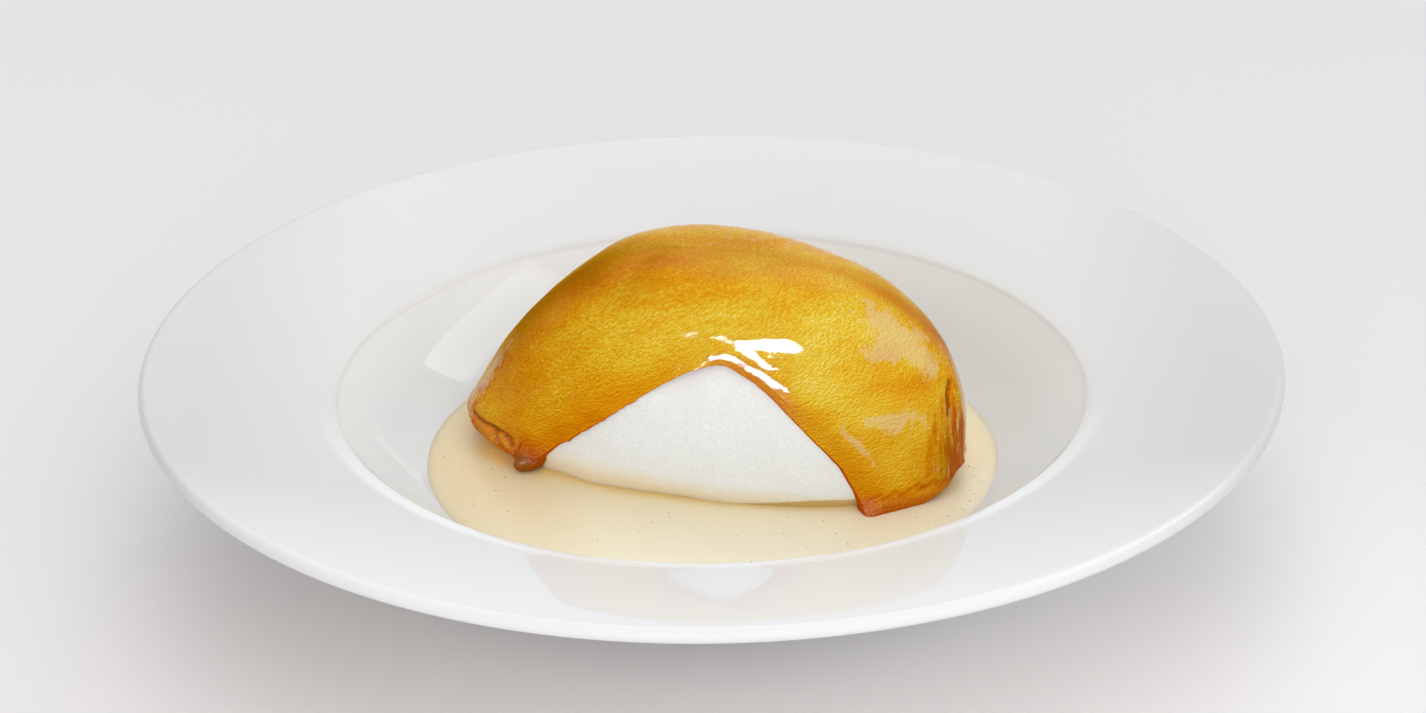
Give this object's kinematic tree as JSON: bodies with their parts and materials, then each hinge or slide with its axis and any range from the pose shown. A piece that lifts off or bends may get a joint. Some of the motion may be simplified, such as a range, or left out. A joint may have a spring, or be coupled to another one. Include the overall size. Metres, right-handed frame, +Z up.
{
  "type": "floating island dessert",
  "caption": "Floating island: poached meringue under a glossy caramel shell with a bare front, standing in vanilla custard on a wide-rimmed white porcelain plate.",
  "frame": {"origin": "on the table under the middle of the plate, at the bottom of the foot ring", "axes": "+Z up; the side where the caramel leaves the meringue bare faces -Y; +X to the right seen from that side"},
  "size_m": [0.3, 0.3, 0.0741],
  "materials": {
    "porcelain": "white glaze, glossy",
    "custard": "pale cream, smooth and slightly glossy, with vanilla specks",
    "meringue": "white, matt, finely pored",
    "caramel": "clear amber glaze, glossy over a fine grain"
  },
  "bodies": {
    "root": {"plate": "porcelain", "custard": "custard", "meringue": "meringue", "caramel": "caramel"}
  },
  "joints": []
}
